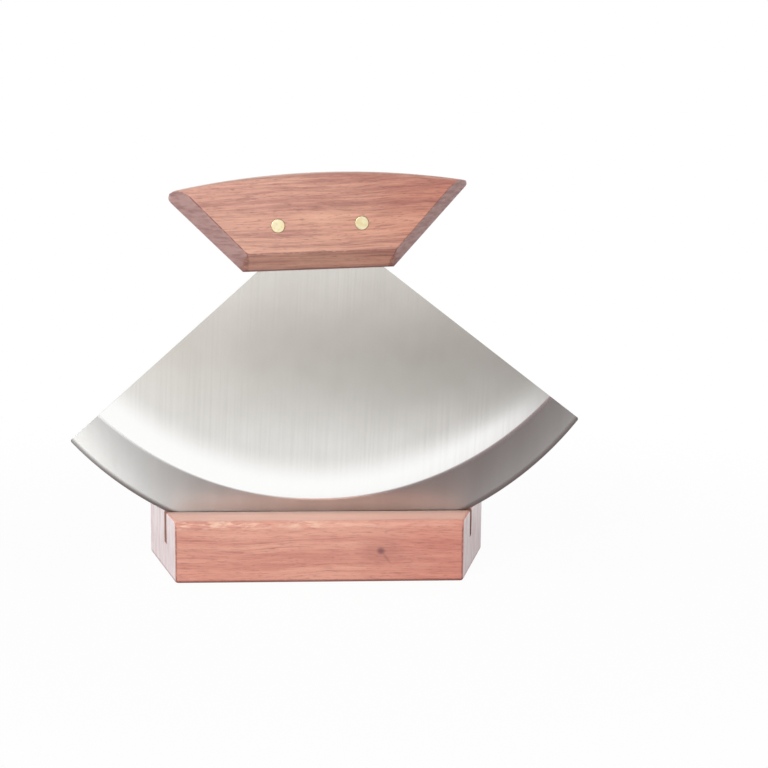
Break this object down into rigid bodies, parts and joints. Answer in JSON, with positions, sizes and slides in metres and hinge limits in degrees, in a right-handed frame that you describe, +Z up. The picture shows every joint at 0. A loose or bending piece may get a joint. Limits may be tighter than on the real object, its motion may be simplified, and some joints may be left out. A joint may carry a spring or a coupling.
{
  "type": "ulu knife",
  "caption": "Fan-shaped ulu slicing knife with a crowned wooden handle pinned to its steel blade, standing edge down in a slotted wooden display stand.",
  "frame": {"origin": "middle of the stand's underside", "axes": "+X along the blade, to the right seen from the ground side; +Y from the front to the back; +Z up"},
  "size_m": [0.1553, 0.038, 0.1227],
  "materials": {
    "handle_wood": "oiled, straight grained, satin",
    "blade_steel": "fine brushed, hollow-ground bevel polished",
    "pin_brass": "sanded flush, satin",
    "stand_wood": "oiled, straight grained, satin"
  },
  "bodies": {
    "stand": {"stand": "stand_wood"},
    "knife": {"handle": "handle_wood", "blade": "blade_steel", "pin_left": "pin_brass", "pin_right": "pin_brass"}
  },
  "joints": [
    {"name": "knife_lift", "type": "slide", "parent": "stand", "child": "knife", "axis": [0, 0, 1], "range_m": [0, 0.06]}
  ]
}
